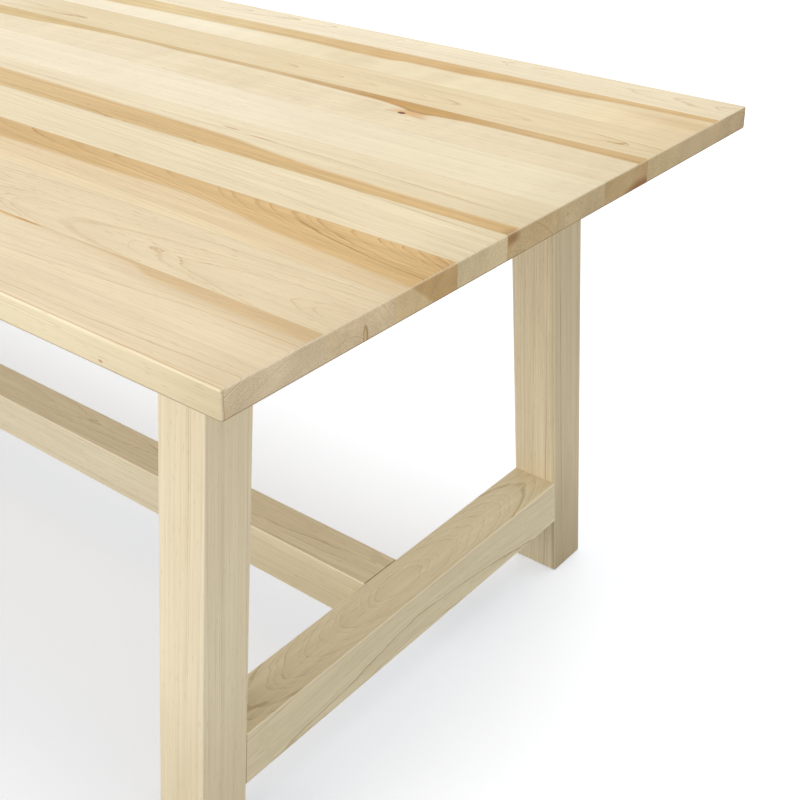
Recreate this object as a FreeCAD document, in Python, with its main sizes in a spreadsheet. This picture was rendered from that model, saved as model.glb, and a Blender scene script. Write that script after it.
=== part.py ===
import FreeCAD, Part
import Sketcher
import math
import os

# A farmhouse table: an edge-glued maple top on two splayed end frames, tied by one long stretcher.
# Millimetres. The origin is on the floor under the middle of the top, +X runs along the table towards
# its right end, -Y is the near long side and +Z is up.

sizes = {
    # the top
    "table_length": 2134,       # end to end
    "top_width": 997,           # near edge to far edge
    "table_height": 762,        # floor to the upper face
    "top_thickness": 31,
    "top_edge_radius": 3,       # upper edges and corners
    "underside_radius": 1.5,    # lower edges
    # the end frames
    "leg_width": 71,            # across the table, measured level
    "leg_depth": 72,            # along the table
    "leg_inset": 171,           # from the end of the top to the leg
    "foot_spread": 832,         # over both feet, at the floor
    "head_spread": 708,         # over both legs, under the top
    "beam_lift": 97,            # floor to the underside of cross-beam and stretcher
    "beam_height": 72,          # cross-beam and stretcher
    "rail_height": 72,          # top rail
    "frame_edge_radius": 2,     # long edges of all frame pieces
    "sole_radius": 1.5,         # edges of the sole of each foot
    # the tenons of cross-beams and top rails
    "tenon_thickness": 24,
    "tenon_shoulder": 12,       # above and below each tenon
    "tenon_length": 45,
    "glue_gap": 0.1,            # on each side of a tenon
    "mortise_room": 2,          # beyond the end of a tenon or a screw
    # the stretcher and the stub tenons at its ends
    "stretcher_width": 70,
    "stub_width": 36,
    "stub_height": 22,
    "stub_length": 15,
    "stub_drop": 12,            # from the stretcher's upper face to the stub
    # the bolts that hold the top
    "bolt_diameter": 8,
    "bolt_clearance": 0.5,      # round a bolt in a plain hole
    "thread_gap": 0.1,          # round a bolt in a threaded hole
    "hex_width": 13,            # bolt heads and nuts, across flats
    "head_height": 5.3,
    "washer_diameter": 24,
    "washer_thickness": 2,
    "slot_travel": 8,           # how far the top may move on each outer bolt
    "insert_diameter": 12,
    "insert_length": 16,
    "insert_room": 2,           # beyond the end of an insert
    # the hanger bolts that hold the stretcher
    "hanger_height": 20,        # bolt axis above the stretcher's underside
    "hanger_embed": 45,         # screwed into the cross-beam
    "hanger_point": 8,          # cone at the screw end
    "hanger_tail": 4,           # bolt showing past the nut
    "recess_diameter": 35,      # drilled into the stretcher's underside
    "recess_wall": 30,          # wood between the recess and the stretcher's end
    "recess_room": 2,           # above the half-moon washer
    "crescent_thickness": 6,    # half-moon washer, at its middle
    "crescent_height": 22,
    "nut_height": 6.5,
}

# widths of the ten boards, as shares of the top's width, from the near edge to the far edge
board_shares = (0.130, 0.102, 0.100, 0.090, 0.098, 0.103, 0.102, 0.090, 0.104, 0.081)
# the outer bolts of a rail stand this far from its middle, as a share of its half length
outer_bolt_share = 0.75
# two faces this close lie in one plane
touching = 1e-6

doc = FreeCAD.newDocument("FarmhouseTable")
sheet = doc.addObject("Spreadsheet::Sheet", "Sizes")
for row, (alias, value) in enumerate(sizes.items(), start=1):
    sheet.set(f"A{row}", alias)
    sheet.set(f"B{row}", str(value))
    sheet.setAlias(f"B{row}", alias)
doc.recompute()

# lengths that follow from the driving sizes, as expressions
leg_height = "(Sizes.table_height - Sizes.top_thickness)"
frame_offset = "(Sizes.table_length / 2 - Sizes.leg_inset - Sizes.leg_depth / 2)"
frame_inner = f"({frame_offset} - Sizes.leg_depth / 2)"
lean = f"((Sizes.foot_spread - Sizes.head_spread) / 2 / {leg_height})"
beam_top = "(Sizes.beam_lift + Sizes.beam_height)"
rail_bottom = f"({leg_height} - Sizes.rail_height)"
stub_top = f"({beam_top} - Sizes.stub_drop)"
stub_bottom = f"({stub_top} - Sizes.stub_height)"
hanger_level = "(Sizes.beam_lift + Sizes.hanger_height)"
recess_radius = "(Sizes.recess_diameter / 2)"
recess_centre = f"({frame_inner} - Sizes.recess_wall - {recess_radius})"
recess_depth = "(Sizes.hanger_height + Sizes.crescent_height / 2 + Sizes.recess_room)"
bolt_radius = "(Sizes.bolt_diameter / 2)"
plain_hole_radius = f"({bolt_radius} + Sizes.bolt_clearance)"
threaded_hole_radius = f"({bolt_radius} + Sizes.thread_gap)"
insert_hole_radius = "(Sizes.insert_diameter / 2 + Sizes.thread_gap)"
hex_radius = "(Sizes.hex_width / sqrt(3))"
outer_bolt = f"((Sizes.head_spread / 2 - Sizes.leg_width) * {outer_bolt_share})"
top_bolt_places = (f"(0 - {outer_bolt})", "0", outer_bolt)

end_signs = {"right": "", "left": "-"}
half_turn = FreeCAD.Rotation(FreeCAD.Vector(0, 0, 1), 180)
along_x = FreeCAD.Rotation(FreeCAD.Vector(0, 1, 0), 90)
pieces = []


def number(expression):
    return float(sheet.evalExpression(expression))


def outer_face(level):
    """Half the frame's width over the legs at a level."""
    return f"(Sizes.foot_spread / 2 - {lean} * {level})"


def inner_face(level):
    """Half the clear width between the legs at a level."""
    return f"({outer_face(level)} - Sizes.leg_width)"


def tenon_end(low, high):
    """Distance from the table's middle line to the end of a tenon between two levels."""
    return f"({inner_face(f'(({low} + {high}) / 2)')} + Sizes.tenon_length)"


def new_body(label):
    body = doc.addObject("PartDesign::Body", label)
    body.Label = label
    pieces.append(body)
    return body


def origin_plane(body, role):
    return next(feature for feature in body.Origin.OriginFeatures if feature.Role == role)


def new_sketch(body, name, role, offset=None):
    sketch = body.newObject("Sketcher::SketchObject", name)
    sketch.AttachmentSupport = [(origin_plane(body, role), "")]
    sketch.MapMode = "FlatFace"
    if offset:
        sketch.setExpression("AttachmentOffset.Base.z", offset)
    return sketch


def pin_point(sketch, geometry, point, across, up):
    """Ties one point of a sketch to the sketch's origin."""
    for kind, expression, axis in (("DistanceX", across, -2), ("DistanceY", up, -1)):
        if expression == "0":
            sketch.addConstraint(Sketcher.Constraint("PointOnObject", geometry, point, axis))
        else:
            distance = Sketcher.Constraint(kind, -1, 1, geometry, point, number(expression))
            place = sketch.addConstraint(distance)
            sketch.setExpression(f"Constraints[{place}]", expression)


def draw_outline(sketch, corners):
    """A closed straight-sided outline through corners given as pairs of expressions."""
    spots = [FreeCAD.Vector(number(across), number(up), 0) for across, up in corners]
    first = sketch.GeometryCount
    for here, there in zip(spots, spots[1:] + spots[:1]):
        sketch.addGeometry(Part.LineSegment(here, there), False)
    for step, (across, up) in enumerate(corners):
        following = (step + 1) % len(corners)
        sketch.addConstraint(Sketcher.Constraint("Coincident", first + step, 2, first + following, 1))
        pin_point(sketch, first + step, 1, across, up)


def draw_rectangle(sketch, left, right, bottom, top):
    draw_outline(sketch, ((left, bottom), (right, bottom), (right, top), (left, top)))


def draw_circle(sketch, across, up, radius):
    centre = FreeCAD.Vector(number(across), number(up), 0)
    circle = sketch.addGeometry(Part.Circle(centre, FreeCAD.Vector(0, 0, 1), number(radius)), False)
    pin_point(sketch, circle, 3, across, up)
    place = sketch.addConstraint(Sketcher.Constraint("Radius", circle, number(radius)))
    sketch.setExpression(f"Constraints[{place}]", radius)


def draw_slot(sketch, low, high, radius):
    """A slot on the sketch's vertical axis, its round ends centred at the two given heights."""
    size = number(radius)
    bottom, top = number(low), number(high)
    up = FreeCAD.Vector(0, 0, 1)
    upper = Part.ArcOfCircle(Part.Circle(FreeCAD.Vector(0, top, 0), up, size), 0, math.pi)
    lower = Part.ArcOfCircle(Part.Circle(FreeCAD.Vector(0, bottom, 0), up, size), math.pi, 2 * math.pi)
    left = Part.LineSegment(FreeCAD.Vector(-size, top, 0), FreeCAD.Vector(-size, bottom, 0))
    right = Part.LineSegment(FreeCAD.Vector(size, bottom, 0), FreeCAD.Vector(size, top, 0))
    ring = [sketch.addGeometry(curve, False) for curve in (upper, left, lower, right)]
    for here, there in zip(ring, ring[1:] + ring[:1]):
        sketch.addConstraint(Sketcher.Constraint("Tangent", here, 2, there, 1))
    sketch.addConstraint(Sketcher.Constraint("Equal", ring[0], ring[2]))
    pin_point(sketch, ring[0], 3, "0", high)
    pin_point(sketch, ring[2], 3, "0", low)
    place = sketch.addConstraint(Sketcher.Constraint("Radius", ring[0], size))
    sketch.setExpression(f"Constraints[{place}]", radius)


def pad(body, sketch, length, symmetric=True):
    feature = body.newObject("PartDesign::Pad", f"{sketch.Name}_pad")
    feature.Profile = sketch
    feature.SideType = "Symmetric" if symmetric else "One side"
    feature.setExpression("Length", length)
    doc.recompute()
    return feature


def pocket(body, sketch, length, reverse):
    """A pocket of a given length, which has to take something away."""
    before = body.Tip.Shape.Volume
    feature = body.newObject("PartDesign::Pocket", f"{sketch.Name}_pocket")
    feature.Profile = sketch
    feature.Reversed = reverse
    feature.setExpression("Length", length)
    doc.recompute()
    if feature.Shape.Volume >= before:
        raise ValueError(f"{feature.Name} cuts nothing")
    return feature


def edges_where(feature, test):
    return [f"Edge{place}" for place, edge in enumerate(feature.Shape.Edges, start=1) if test(edge.BoundBox)]


def fillet(body, name, edges, radius):
    """Rounds named edges of the body's last feature."""
    base = body.Tip
    feature = body.newObject("PartDesign::Fillet", name)
    feature.Base = (base, edges)
    feature.setExpression("Radius", radius)
    doc.recompute()


def same(one, other):
    return abs(one - other) < touching


def ease_long_edges(body, is_long_edge):
    """Rounds the long edges of a frame piece."""
    edges = edges_where(body.Tip, is_long_edge)
    fillet(body, f"{body.Name}_ease", edges, "Sizes.frame_edge_radius")


def make_board(place, low_share, share):
    """One full-length board of the top, with the holes for the inserts that fall on it."""
    label = f"top_board_{place:02d}"
    body = new_body(label)
    width = f"(Sizes.top_width * {share})"
    low_edge = f"(Sizes.top_width * ({low_share} - 1 / 2))"
    sketch = new_sketch(body, f"{label}_plan", "XY_Plane")
    draw_rectangle(sketch, "-Sizes.table_length / 2", "Sizes.table_length / 2", "0", width)
    blank = pad(body, sketch, "Sizes.top_thickness", symmetric=False)

    # the ends of every board and the outer sides of the first and last are eased
    end, thickness = number("Sizes.table_length / 2"), number("Sizes.top_thickness")
    outer_side = {1: 0, len(board_shares): number(width)}.get(place)

    def on_rim(box):
        on_end = box.XLength < touching and same(abs(box.Center.x), end)
        on_side = outer_side is not None and box.YLength < touching and same(box.Center.y, outer_side)
        return on_end, on_side

    def is_upper(box):
        on_end, on_side = on_rim(box)
        is_corner = on_end and on_side and box.ZLength > touching
        return is_corner or ((on_end or on_side) and same(box.ZMin, thickness))

    def is_lower(box):
        return any(on_rim(box)) and same(box.ZMax, 0)

    fillet(body, f"{label}_ease", edges_where(blank, is_upper), "Sizes.top_edge_radius")
    fillet(body, f"{label}_soften", edges_where(body.Tip, is_lower), "Sizes.underside_radius")

    # insert holes, drilled up from the underside
    reach = number(insert_hole_radius)
    wanted = [spot for spot in top_bolt_places
              if -reach < number(f"{spot} - {low_edge}") < number(width) + reach]
    if wanted:
        holes = new_sketch(body, f"{label}_holes", "XY_Plane")
        for sign in end_signs.values():
            for spot in wanted:
                draw_circle(holes, f"{sign}{frame_offset}", f"({spot} - {low_edge})", insert_hole_radius)
        pocket(body, holes, "Sizes.insert_length + Sizes.insert_room", reverse=True)
    body.setExpression("Placement.Base.y", low_edge)
    body.setExpression("Placement.Base.z", leg_height)


def make_leg(end, side):
    """A leaning leg, cut level at both ends, with mortises for the cross-beam and the top rail."""
    label = f"{end}_{side}_leg"
    body = new_body(label)
    sketch = new_sketch(body, f"{label}_side", "YZ_Plane")
    draw_outline(sketch, (
        (inner_face("0"), "0"),
        (outer_face("0"), "0"),
        (outer_face(leg_height), leg_height),
        (inner_face(leg_height), leg_height),
    ))
    pad(body, sketch, "Sizes.leg_depth")
    half_tenon = "(Sizes.tenon_thickness / 2 + Sizes.glue_gap)"
    for name, low, high in (("beam", "Sizes.beam_lift", beam_top), ("rail", rail_bottom, leg_height)):
        mortise = new_sketch(body, f"{label}_{name}_mortise", "XZ_Plane")
        draw_rectangle(
            mortise,
            f"-{half_tenon}",
            half_tenon,
            f"({low} + Sizes.tenon_shoulder - Sizes.glue_gap)",
            f"({high} - Sizes.tenon_shoulder + Sizes.glue_gap)",
        )
        pocket(body, mortise, f"{tenon_end(low, high)} + Sizes.mortise_room", reverse=False)

    half_depth, height = number("Sizes.leg_depth / 2"), number(leg_height)

    def is_long_edge(box):
        return same(abs(box.Center.x), half_depth) and same(box.ZLength, height)

    def is_sole(box):
        return same(box.ZMax, 0)

    ease_long_edges(body, is_long_edge)
    fillet(body, f"{label}_sole", edges_where(body.Tip, is_sole), "Sizes.sole_radius")
    if side == "near":
        body.Placement = FreeCAD.Placement(FreeCAD.Vector(0, 0, 0), half_turn)
    body.setExpression("Placement.Base.x", f"{end_signs[end]}{frame_offset}")


def start_crosspiece(label, low, high):
    """A piece between the legs: shoulders that follow their lean, and a tenon into each leg."""
    body = new_body(label)
    sketch = new_sketch(body, f"{label}_side", "YZ_Plane")
    draw_outline(sketch, (
        (f"-{inner_face(low)}", low),
        (inner_face(low), low),
        (inner_face(high), high),
        (f"-{inner_face(high)}", high),
    ))
    pad(body, sketch, "Sizes.leg_depth")
    tenons = new_sketch(body, f"{label}_tenons", "YZ_Plane")
    reach = tenon_end(low, high)
    shoulder = "Sizes.tenon_shoulder"
    draw_rectangle(tenons, f"-{reach}", reach, f"({low} + {shoulder})", f"({high} - {shoulder})")
    pad(body, tenons, "Sizes.tenon_thickness")
    half_depth = number("Sizes.leg_depth / 2")

    def is_long_edge(box):
        return max(box.XLength, box.ZLength) < touching and same(abs(box.Center.x), half_depth)

    ease_long_edges(body, is_long_edge)
    return body


def make_cross_beam(end):
    """The lower cross-beam, with a blind mortise and a screw hole for the stretcher's end."""
    label = f"{end}_cross_beam"
    body = start_crosspiece(label, "Sizes.beam_lift", beam_top)
    inner_side = "-Sizes.leg_depth / 2"
    mortise = new_sketch(body, f"{label}_mortise", "YZ_Plane", inner_side)
    half_stub = "(Sizes.stub_width / 2 + Sizes.glue_gap)"
    lowest, highest = f"({stub_bottom} - Sizes.glue_gap)", f"({stub_top} + Sizes.glue_gap)"
    draw_rectangle(mortise, f"-{half_stub}", half_stub, lowest, highest)
    pocket(body, mortise, "Sizes.stub_length + Sizes.mortise_room", reverse=True)
    screw_hole = new_sketch(body, f"{label}_screw_hole", "YZ_Plane", inner_side)
    draw_circle(screw_hole, "0", hanger_level, threaded_hole_radius)
    pocket(body, screw_hole, "Sizes.hanger_embed + Sizes.mortise_room", reverse=True)
    if end == "left":
        body.Placement = FreeCAD.Placement(FreeCAD.Vector(0, 0, 0), half_turn)
    body.setExpression("Placement.Base.x", f"{end_signs[end]}{frame_offset}")


def make_top_rail(end):
    """The rail under the top, with a round middle hole and slotted outer holes for the bolts."""
    label = f"{end}_top_rail"
    body = start_crosspiece(label, rail_bottom, leg_height)
    holes = new_sketch(body, f"{label}_holes", "XY_Plane")
    for spot in top_bolt_places:
        if spot == "0":
            draw_circle(holes, "0", spot, plain_hole_radius)
        else:
            ends = [f"({spot} {sign} Sizes.slot_travel / 2)" for sign in "-+"]
            draw_slot(holes, *ends, plain_hole_radius)
    pocket(body, holes, "Sizes.table_height", reverse=True)
    body.setExpression("Placement.Base.x", f"{end_signs[end]}{frame_offset}")


def make_stretcher():
    """The long stretcher, with stub tenons, and a bolt hole and a round recess under each end."""
    label = "long_stretcher"
    body = new_body(label)
    section = new_sketch(body, f"{label}_section", "YZ_Plane")
    half_width = "Sizes.stretcher_width / 2"
    draw_rectangle(section, f"-{half_width}", half_width, "Sizes.beam_lift", beam_top)
    pad(body, section, f"2 * {frame_inner}")
    stubs = new_sketch(body, f"{label}_stubs", "YZ_Plane")
    draw_rectangle(stubs, "-Sizes.stub_width / 2", "Sizes.stub_width / 2", stub_bottom, stub_top)
    pad(body, stubs, f"2 * ({frame_inner} + Sizes.stub_length)")
    side = number(half_width)

    def is_long_edge(box):
        return max(box.YLength, box.ZLength) < touching and same(abs(box.Center.y), side)

    ease_long_edges(body, is_long_edge)
    recesses = new_sketch(body, f"{label}_recesses", "XY_Plane")
    for sign in end_signs.values():
        draw_circle(recesses, f"{sign}{recess_centre}", "0", recess_radius)
    pocket(body, recesses, f"Sizes.beam_lift + {recess_depth}", reverse=True)
    bolt_hole = new_sketch(body, f"{label}_bolt_hole", "YZ_Plane", recess_centre)
    draw_circle(bolt_hole, "0", hanger_level, plain_hole_radius)
    hole = pocket(body, bolt_hole, f"{recess_radius} + Sizes.recess_wall", reverse=True)
    mirrored = body.newObject("PartDesign::Mirrored", f"{label}_other_hole")
    mirrored.Originals = [hole]
    mirrored.MirrorPlane = (origin_plane(body, "YZ_Plane"), [""])
    body.Tip = mirrored
    doc.recompute()


def place_at(item, along, across, level):
    for axis, expression in zip("xyz", (along, across, level)):
        item.setExpression(f"Placement.Base.{axis}", expression)


def cylinder(name, radius, height, along, across, level, rotation=None):
    item = doc.addObject("Part::Cylinder", name)
    if rotation:
        item.Placement = FreeCAD.Placement(FreeCAD.Vector(0, 0, 0), rotation)
    item.setExpression("Radius", radius)
    item.setExpression("Height", height)
    place_at(item, along, across, level)
    return item


def hexagon(name, height, along, across, level, rotation=None):
    item = doc.addObject("Part::Prism", name)
    item.Polygon = 6
    if rotation:
        item.Placement = FreeCAD.Placement(FreeCAD.Vector(0, 0, 0), rotation)
    item.setExpression("Circumradius", hex_radius)
    item.setExpression("Height", height)
    place_at(item, along, across, level)
    return item


def combine(kind, name, base, tool):
    item = doc.addObject(f"Part::{kind}", name)
    item.Base = base
    item.Tool = tool
    return item


def group(label, items):
    """Identical fasteners share one node as a group of solids."""
    compound = doc.addObject("Part::Compound", label)
    compound.Label = label
    compound.Links = items
    pieces.append(compound)


def make_top_fasteners():
    """Bolts up through the rails into threaded inserts in the top, with a washer under each head."""
    bolts, washers, inserts = [], [], []
    washer_bottom = f"({rail_bottom} - Sizes.washer_thickness)"
    shank = "(Sizes.washer_thickness + Sizes.rail_height + Sizes.insert_length)"
    for end, sign in end_signs.items():
        along = f"{sign}{frame_offset}"
        for place, across in enumerate(top_bolt_places, start=1):
            tag = f"{end}_{place}"
            head_bottom = f"{washer_bottom} - Sizes.head_height"
            head = hexagon(f"bolt_head_{tag}", "Sizes.head_height", along, across, head_bottom)
            stem = cylinder(f"bolt_stem_{tag}", bolt_radius, shank, along, across, washer_bottom)
            bolts.append(combine("Fuse", f"top_bolt_{tag}", head, stem))
            disc = cylinder(f"washer_disc_{tag}", "Sizes.washer_diameter / 2", "Sizes.washer_thickness",
                            along, across, washer_bottom)
            bore = cylinder(f"washer_bore_{tag}", threaded_hole_radius, "Sizes.washer_thickness",
                            along, across, washer_bottom)
            washers.append(combine("Cut", f"top_washer_{tag}", disc, bore))
            sleeve = cylinder(f"insert_sleeve_{tag}", "Sizes.insert_diameter / 2", "Sizes.insert_length",
                              along, across, leg_height)
            thread = cylinder(f"insert_bore_{tag}", threaded_hole_radius, "Sizes.insert_length",
                              along, across, leg_height)
            inserts.append(combine("Cut", f"top_insert_{tag}", sleeve, thread))
    group("top_bolts", bolts)
    group("top_bolt_washers", washers)
    group("top_inserts", inserts)


def both_ends(label, item):
    """A group of a fastener at the right end and its mirror image at the left end."""
    mirrored = doc.addObject("Part::Mirroring", f"{item.Name}_left")
    mirrored.Source = item
    mirrored.Normal = FreeCAD.Vector(1, 0, 0)
    group(label, [item, mirrored])


def make_stretcher_fasteners():
    """A hanger bolt in each cross-beam, drawn up by a nut on a half-moon washer in the recess."""
    washer_radius = f"({recess_radius} - Sizes.thread_gap)"
    seat = f"({recess_centre} + {washer_radius} - Sizes.crescent_thickness)"
    nut_side = f"({seat} - Sizes.nut_height)"
    tail_end = f"({nut_side} - Sizes.hanger_tail)"
    point_start = f"({frame_inner} + Sizes.hanger_embed - Sizes.hanger_point)"

    length = f"{point_start} - {tail_end}"
    stem = cylinder("hanger_stem", bolt_radius, length, tail_end, "0", hanger_level, along_x)
    point = doc.addObject("Part::Cone", "hanger_point")
    point.Placement = FreeCAD.Placement(FreeCAD.Vector(0, 0, 0), along_x)
    point.setExpression("Radius1", bolt_radius)
    point.Radius2 = 0
    point.setExpression("Height", "Sizes.hanger_point")
    place_at(point, point_start, "0", hanger_level)
    both_ends("stretcher_bolts", combine("Fuse", "hanger_bolt", stem, point))

    washer_bottom = f"({hanger_level} - Sizes.crescent_height / 2)"
    disc = cylinder("crescent_disc", washer_radius, "Sizes.crescent_height", recess_centre, "0",
                    washer_bottom)
    slab = doc.addObject("Part::Box", "crescent_slab")
    slab.setExpression("Length", "Sizes.crescent_thickness")
    slab.setExpression("Width", "Sizes.recess_diameter")
    slab.setExpression("Height", "Sizes.crescent_height")
    place_at(slab, seat, f"-{recess_radius}", washer_bottom)
    crescent = combine("Common", "crescent_blank", disc, slab)
    bore = cylinder("crescent_bore", threaded_hole_radius, "Sizes.crescent_thickness", seat, "0",
                    hanger_level, along_x)
    both_ends("stretcher_washers", combine("Cut", "crescent", crescent, bore))

    body = hexagon("nut_blank", "Sizes.nut_height", nut_side, "0", hanger_level, along_x)
    thread = cylinder("nut_bore", threaded_hole_radius, "Sizes.nut_height", nut_side, "0",
                      hanger_level, along_x)
    both_ends("stretcher_nuts", combine("Cut", "hanger_nut", body, thread))


# the top, board by board from the near edge
for place, share in enumerate(board_shares, start=1):
    make_board(place, sum(board_shares[:place - 1]), share)

# the two end frames and the stretcher between them
for end in end_signs:
    for side in ("near", "far"):
        make_leg(end, side)
    make_cross_beam(end)
    make_top_rail(end)
make_stretcher()

# the hardware
make_top_fasteners()
make_stretcher_fasteners()
doc.recompute()

# nothing is written unless every object is sound
for item in doc.Objects:
    if {"Invalid", "Error"} & set(item.State):
        raise ValueError(f"{item.Name} failed: {item.State}")
for piece in pieces:
    if piece.Shape.isNull() or not piece.Shape.isValid():
        raise ValueError(f"{piece.Label} has no sound shape")

os.makedirs("parts", exist_ok=True)
for piece in pieces:
    piece.Shape.exportStep(f"parts/{piece.Label}.step")
    box = piece.Shape.BoundBox
    print(f"{piece.Label}: {len(piece.Shape.Solids)} solid(s), {piece.Shape.Volume / 1000:.1f} cm3, "
          f"x {box.XMin:.1f} to {box.XMax:.1f}, y {box.YMin:.1f} to {box.YMax:.1f}, "
          f"z {box.ZMin:.1f} to {box.ZMax:.1f}")
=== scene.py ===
import math

import bpy
from mathutils import Euler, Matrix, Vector


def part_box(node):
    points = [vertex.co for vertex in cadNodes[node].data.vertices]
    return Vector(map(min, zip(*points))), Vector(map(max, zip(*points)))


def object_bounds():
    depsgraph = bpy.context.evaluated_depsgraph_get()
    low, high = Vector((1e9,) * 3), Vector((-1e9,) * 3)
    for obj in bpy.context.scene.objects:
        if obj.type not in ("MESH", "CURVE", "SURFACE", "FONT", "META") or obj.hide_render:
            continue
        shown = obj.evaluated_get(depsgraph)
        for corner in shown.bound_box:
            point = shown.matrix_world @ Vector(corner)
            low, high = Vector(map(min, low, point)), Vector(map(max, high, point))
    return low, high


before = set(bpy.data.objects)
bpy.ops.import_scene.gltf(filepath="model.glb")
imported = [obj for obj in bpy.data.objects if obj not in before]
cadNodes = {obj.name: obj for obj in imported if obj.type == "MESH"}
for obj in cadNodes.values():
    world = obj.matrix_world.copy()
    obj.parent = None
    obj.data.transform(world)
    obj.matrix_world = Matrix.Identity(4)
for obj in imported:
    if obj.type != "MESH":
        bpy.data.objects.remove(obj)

cadBox = [list(corner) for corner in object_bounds()]
leftEnd, nearEdge = cadBox[0][:2]
rightEnd, farEdge, topFace = cadBox[1]
scene = bpy.context.scene
print("frame loaded:", len(cadNodes), "nodes")


class Wire:  # a socket that takes part in sums
    def __init__(self, finish, socket):
        self.finish = finish
        self.socket = socket

    def __add__(self, other):
        return self.finish.math("ADD", self, other)

    def __radd__(self, other):
        return self.finish.math("ADD", other, self)

    def __sub__(self, other):
        return self.finish.math("SUBTRACT", self, other)

    def __rsub__(self, other):
        return self.finish.math("SUBTRACT", other, self)

    def __mul__(self, other):
        return self.finish.math("MULTIPLY", self, other)

    def __rmul__(self, other):
        return self.finish.math("MULTIPLY", other, self)

    def __truediv__(self, other):
        return self.finish.math("DIVIDE", self, other)

    def __rtruediv__(self, other):
        return self.finish.math("DIVIDE", other, self)

    def __abs__(self):
        return self.finish.math("ABSOLUTE", self)


seedSteps = (7.31, 3.17, 5.73)  # how far one seed moves a pattern, in its own repeats


class Finish:  # the nodes of one material, or of the world
    def __init__(self, owner):
        owner.use_nodes = True
        self.owner = owner
        self.tree = owner.node_tree
        self.tree.nodes.clear()

    def node(self, kind, settings=None, sockets=None, out=0):
        made = self.tree.nodes.new("ShaderNode" + kind)
        for key, value in (settings or {}).items():
            if key == "curve":  # points of a Float Curve, both ways from 0 to 1
                points = made.mapping.curves[0].points
                points[0].location = value[0]
                points[1].location = value[-1]
                for spot in value[1:-1]:
                    points.new(*spot)
                made.mapping.update()
            else:
                setattr(made, key, value)
        for key, value in (sockets or {}).items():
            if isinstance(value, Wire):
                self.tree.links.new(value.socket, made.inputs[key])
            else:
                made.inputs[key].default_value = value
        return Wire(self, made.outputs[out]) if made.outputs else None

    def math(self, operation, *values):
        return self.node("Math", {"operation": operation}, dict(enumerate(values)))

    def vector(self, operation, *values, out="Vector"):
        return self.node("VectorMath", {"operation": operation}, dict(enumerate(values)), out)

    def smooth(self, value, low, high):  # 0 below low, 1 above high
        return self.node("MapRange", {"interpolation_type": "SMOOTHSTEP"},
                         {"Value": value, "From Min": low, "From Max": high})

    def mix(self, first, second, share, blend="MIX"):
        rows = {0: share, 6: first, 7: second}
        return self.node("Mix", {"data_type": "RGBA", "blend_type": blend}, rows, out=2)

    def split(self, vector):
        parts = self.node("SeparateXYZ", {}, {0: vector})
        outputs = parts.socket.node.outputs
        return [Wire(self, outputs[k]) for k in range(3)]

    def noise(self, vector, stretch, seed, detail=2.0, rough=0.5, out=0):
        moved = self.vector("MULTIPLY_ADD", vector, stretch, [seed * step for step in seedSteps])
        rows = {"Vector": moved, "Scale": 1.0, "Detail": detail, "Roughness": rough}
        return self.node("TexNoise", {}, rows, out)

    def along(self, x, points):  # a smooth line through (x in metres, value), from one end to the other
        low, high = points[0][0], points[-1][0]
        most = max(value for _, value in points) or 1.0
        curve = [((at - low) / (high - low), value / most) for at, value in points]
        place = (x - low) / (high - low)
        return self.node("FloatCurve", {"curve": curve}, {"Value": place}) * most

    def output(self, shader):
        self.node("OutputMaterial", {}, {"Surface": shader})


def rgb(red, green, blue):  # a colour as a picker shows it, to linear light
    parts = [c / 255 for c in (red, green, blue)]
    return (*[c / 12.92 if c <= 0.04045 else ((c + 0.055) / 1.055) ** 2.4 for c in parts], 1.0)


def swing(noise, size):  # noise as a change to both sides of nothing
    return (noise - 0.5) * size


woodColours = {
    "pink": rgb(228, 204, 166),
    "paleLine": rgb(186, 144, 78),
    "heartLine": rgb(160, 108, 40),
    "frameLine": rgb(162, 132, 78),
    "honeyRim": rgb(182, 138, 80),
    "end": rgb(226, 204, 165),
    "endHeart": rgb(202, 168, 118),
    "endLine": rgb(164, 126, 82),
    # a painted highlight for the rounded edges
    "sheenAndWear": rgb(250, 240, 216),
    "glue": rgb(170, 138, 84),
    # dark brown for joint lines, and for the painted shade on the lower arris
    "darkLine": rgb(112, 86, 56),
}

# maple close up: repeats per metre along, across and through the grain, then seed, detail and roughness
mapleNoise = {
    "drift": ((1.4, 8.0, 8.0), 0.0, 1.0, 0.5),
    "wiggle": ((14.0, 60.0, 60.0), 1.7, 3.0, 0.6),
    "broken": ((8.0, 70.0, 70.0), 2.9, 2.0, 0.5),
    "flecks": ((48.0, 700.0, 700.0), 3.3, 1.0, 0.5),
    "fibre": ((9.0, 400.0, 400.0), 5.3, 3.0, 0.65),
    "streak": ((1.6, 120.0, 120.0), 6.1, 3.0, 0.6),
    "cloud": ((6.0, 24.0, 24.0), 7.7, 2.0, 0.5),
    "figure": ((26.0, 6.0, 6.0), 8.3, 2.0, 0.5),
    "pores": ((60.0, 900.0, 900.0), 11.0, 3.0, 0.6),
}


def mapleTexture(finish, local, piece, name, out=0):
    stretch, seed, detail, rough = mapleNoise[name]
    return finish.noise(local, stretch, piece["seed"] + seed, detail, rough, out)


def grainSpace(finish, piece):
    # the piece's own axes: x along the grain, y across, z through, from its middle
    turn = Euler([math.radians(angle) for angle in piece.get("turn", (0, 0, 0))])
    middle = Vector(piece["middle"])
    middle.rotate(turn)
    spot = finish.node("TexCoord", out="Object")
    rows = {"Vector": spot, "Location": -middle, "Rotation": turn}
    return spot, finish.node("Mapping", {"vector_type": "POINT"}, rows)


yearRing = {
    "darkens": (0.15, 0.92), "darkensBy": 0.22,  # slowly over a year
    "lineFrom": 0.78, "lineFull": 0.92, "lineEnds": (0.94, 1.0),  # then in the line that closes it
    "unevenRepeats": 170.0, "uneven": 2.2,  # years of differing width
    "even": 0.2, "endEven": 0.4,  # the faintest line, on faces and on sawn ends
}


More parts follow.
